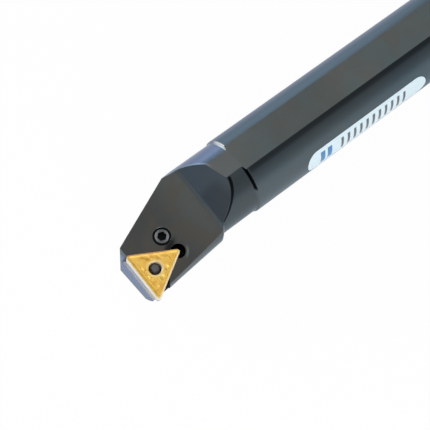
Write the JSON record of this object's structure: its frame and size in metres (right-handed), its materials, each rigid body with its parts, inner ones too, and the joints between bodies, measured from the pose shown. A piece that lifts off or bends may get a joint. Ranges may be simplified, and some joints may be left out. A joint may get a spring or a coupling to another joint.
{
  "type": "boring bar",
  "caption": "Round-shank boring bar with a lever-locked triangular insert at 91 degrees, for internal turning on a lathe.",
  "frame": {"origin": "centre of the rear end face, on the shank's axis", "axes": "+X along the shank from the cutting head to the rear end, +Z out of the top flat, on the insert's side; the insert's nose points to -Y"},
  "size_m": [0.2501, 0.0295, 0.023],
  "materials": {
    "black_steel": "blackened alloy steel, satin, faintly milled",
    "gold_carbide": "gold coated carbide, satin",
    "shim_carbide": "ground carbide",
    "small_steel": "bright hardened steel",
    "screw_steel": "blackened steel with a bright worn rim",
    "label_film": "pale printed panel with plain blue and grey marks"
  },
  "bodies": {
    "bar": {"bar_body": "black_steel", "insert": "gold_carbide", "shim": "shim_carbide", "shim_pin": "small_steel", "label": "label_film"},
    "lever": {"lever": "small_steel"},
    "lever_screw": {"lever_screw": "screw_steel"}
  },
  "joints": [
    {"name": "lever_screw_travel", "type": "slide", "parent": "bar", "child": "lever_screw", "axis": [-0.1023, -0.2068, 0.973], "range_m": [0, 0.00045]},
    {"name": "lever_tilt", "type": "hinge", "parent": "bar", "child": "lever", "pos_m": [-0.24391, -0.00705, -0.00896], "axis": [0.6466, -0.7571, -0.093], "range_deg": [0, 3.5]}
  ],
  "couplings": [
    {"joint": "lever_tilt", "follows": "lever_screw_travel", "rad_per_m": 135}
  ]
}
